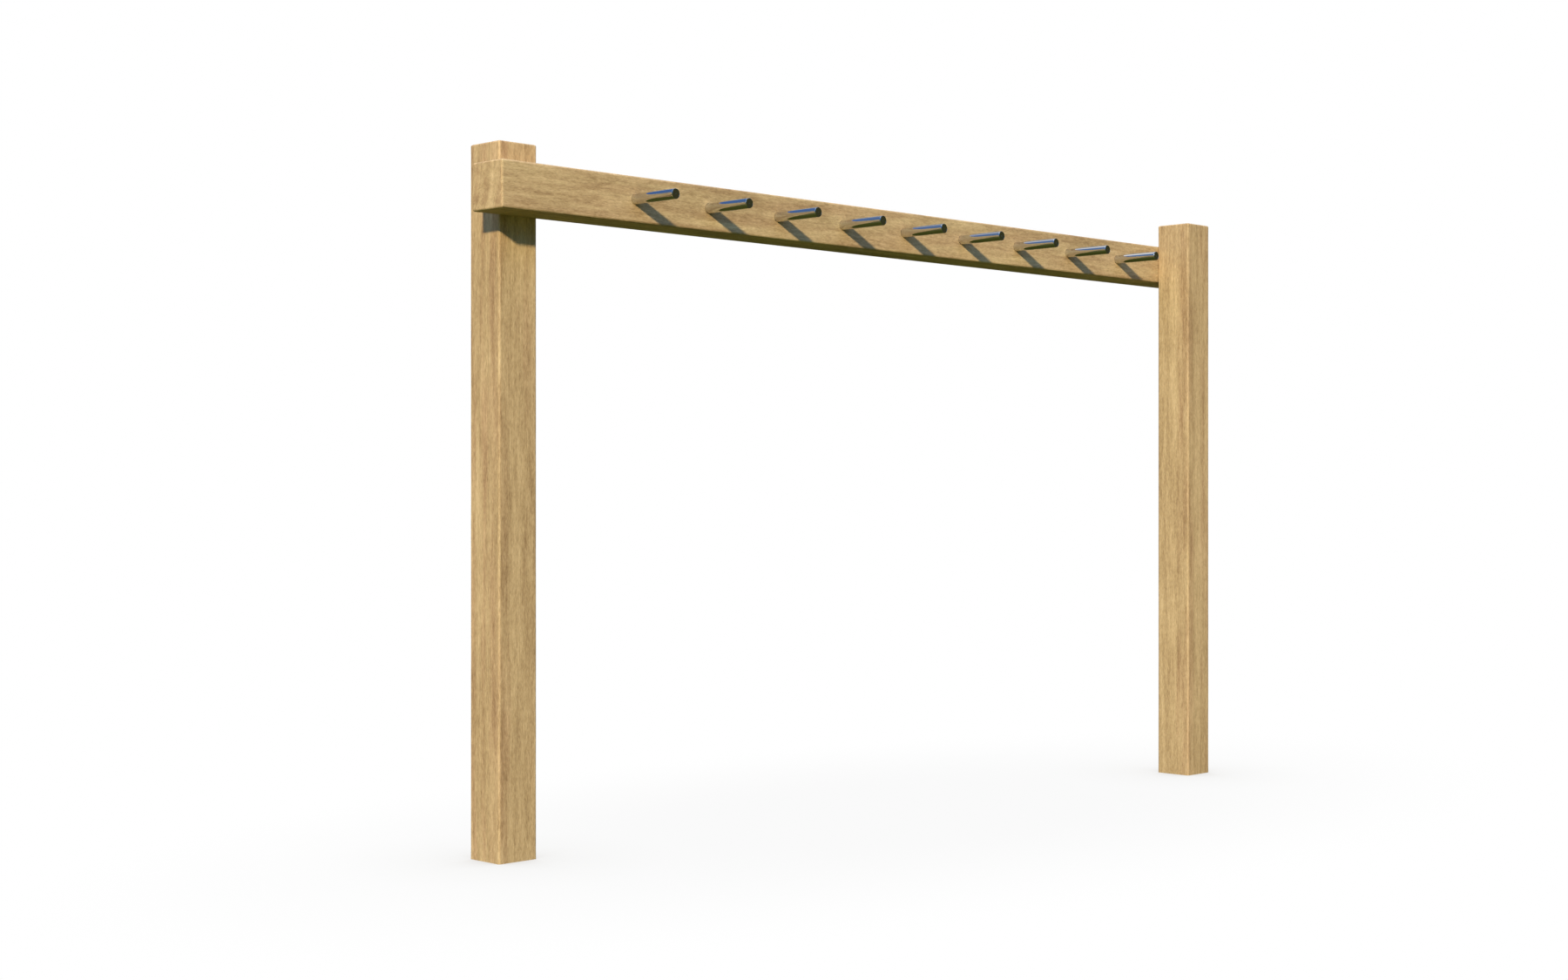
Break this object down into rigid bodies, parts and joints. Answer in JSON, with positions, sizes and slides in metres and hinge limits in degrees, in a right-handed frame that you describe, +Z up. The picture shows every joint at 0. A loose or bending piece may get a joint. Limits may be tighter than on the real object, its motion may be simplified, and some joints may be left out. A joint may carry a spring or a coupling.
{
  "type": "monkey bars",
  "caption": "Free-standing peg traverse: a level square timber beam between two timber posts, with a row of short polished steel pegs to hang from.",
  "frame": {"origin": "on the ground, at the middle of the whole object's bounding box in X and Y", "axes": "+Z up, X along the beam with the left post at -X, and the pegs point towards -Y; the left post stands behind the beam (+Y) and the right post in front of it (-Y)"},
  "size_m": [3.66, 0.498, 2.265],
  "materials": {
    "planed_timber": "planed, oiled softwood with eased edges and fine straight grain",
    "polished_steel": "mirror-polished stainless steel tube with a finely turned, darker end disc",
    "plated_steel": "zinc-plated, dull",
    "cap_plastic": "moulded dark grey, fine matt grain"
  },
  "bodies": {
    "root": {"left_post": "planed_timber", "right_post": "planed_timber", "beam": "planed_timber", "peg_1": "polished_steel", "peg_2": "polished_steel", "peg_3": "polished_steel", "peg_4": "polished_steel", "peg_5": "polished_steel", "peg_6": "polished_steel", "peg_7": "polished_steel", "peg_8": "polished_steel", "peg_9": "polished_steel", "peg_washer_1": "plated_steel", "peg_nut_1": "plated_steel", "peg_cap_1": "cap_plastic", "peg_washer_2": "plated_steel", "peg_nut_2": "plated_steel", "peg_cap_2": "cap_plastic", "peg_washer_3": "plated_steel", "peg_nut_3": "plated_steel", "peg_cap_3": "cap_plastic", "peg_washer_4": "plated_steel", "peg_nut_4": "plated_steel", "peg_cap_4": "cap_plastic", "peg_washer_5": "plated_steel", "peg_nut_5": "plated_steel", "peg_cap_5": "cap_plastic", "peg_washer_6": "plated_steel", "peg_nut_6": "plated_steel", "peg_cap_6": "cap_plastic", "peg_washer_7": "plated_steel", "peg_nut_7": "plated_steel", "peg_cap_7": "cap_plastic", "peg_washer_8": "plated_steel", "peg_nut_8": "plated_steel", "peg_cap_8": "cap_plastic", "peg_washer_9": "plated_steel", "peg_nut_9": "plated_steel", "peg_cap_9": "cap_plastic", "joint_screw_left_upper": "plated_steel", "joint_washer_left_upper": "plated_steel", "joint_cap_left_upper": "cap_plastic", "joint_screw_left_lower": "plated_steel", "joint_washer_left_lower": "plated_steel", "joint_cap_left_lower": "cap_plastic", "joint_screw_right_upper": "plated_steel", "joint_washer_right_upper": "plated_steel", "joint_cap_right_upper": "cap_plastic", "joint_screw_right_lower": "plated_steel", "joint_washer_right_lower": "plated_steel", "joint_cap_right_lower": "cap_plastic"}
  },
  "joints": []
}
